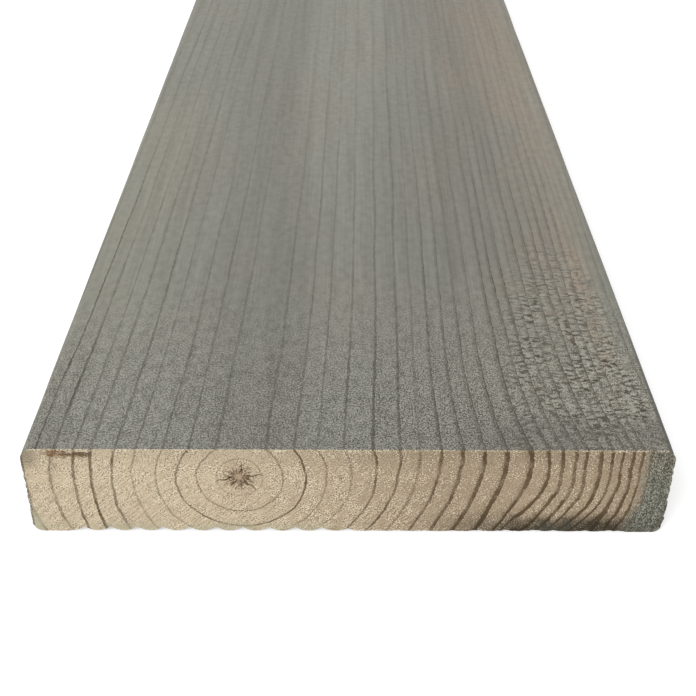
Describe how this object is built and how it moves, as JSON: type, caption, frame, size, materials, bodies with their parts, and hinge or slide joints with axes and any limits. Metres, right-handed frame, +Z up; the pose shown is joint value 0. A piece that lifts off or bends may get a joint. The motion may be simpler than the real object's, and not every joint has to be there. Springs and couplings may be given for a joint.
{
  "type": "decking board",
  "caption": "Solid softwood decking board with a plain walking face, rounded long arrises and a finely rippled underside.",
  "frame": {"origin": "middle of the underside, on the plane of its two flat lands", "axes": "+Y along the board's length, away from the end that the picture shows, +X across its width, +Z up out of the walking face"},
  "size_m": [0.145, 1.8, 0.024],
  "materials": {
    "grey_stained_softwood": "grey pressure-treated softwood, planed faces, raw sawn ends"
  },
  "bodies": {
    "root": {"decking_board": "grey_stained_softwood"}
  },
  "joints": []
}
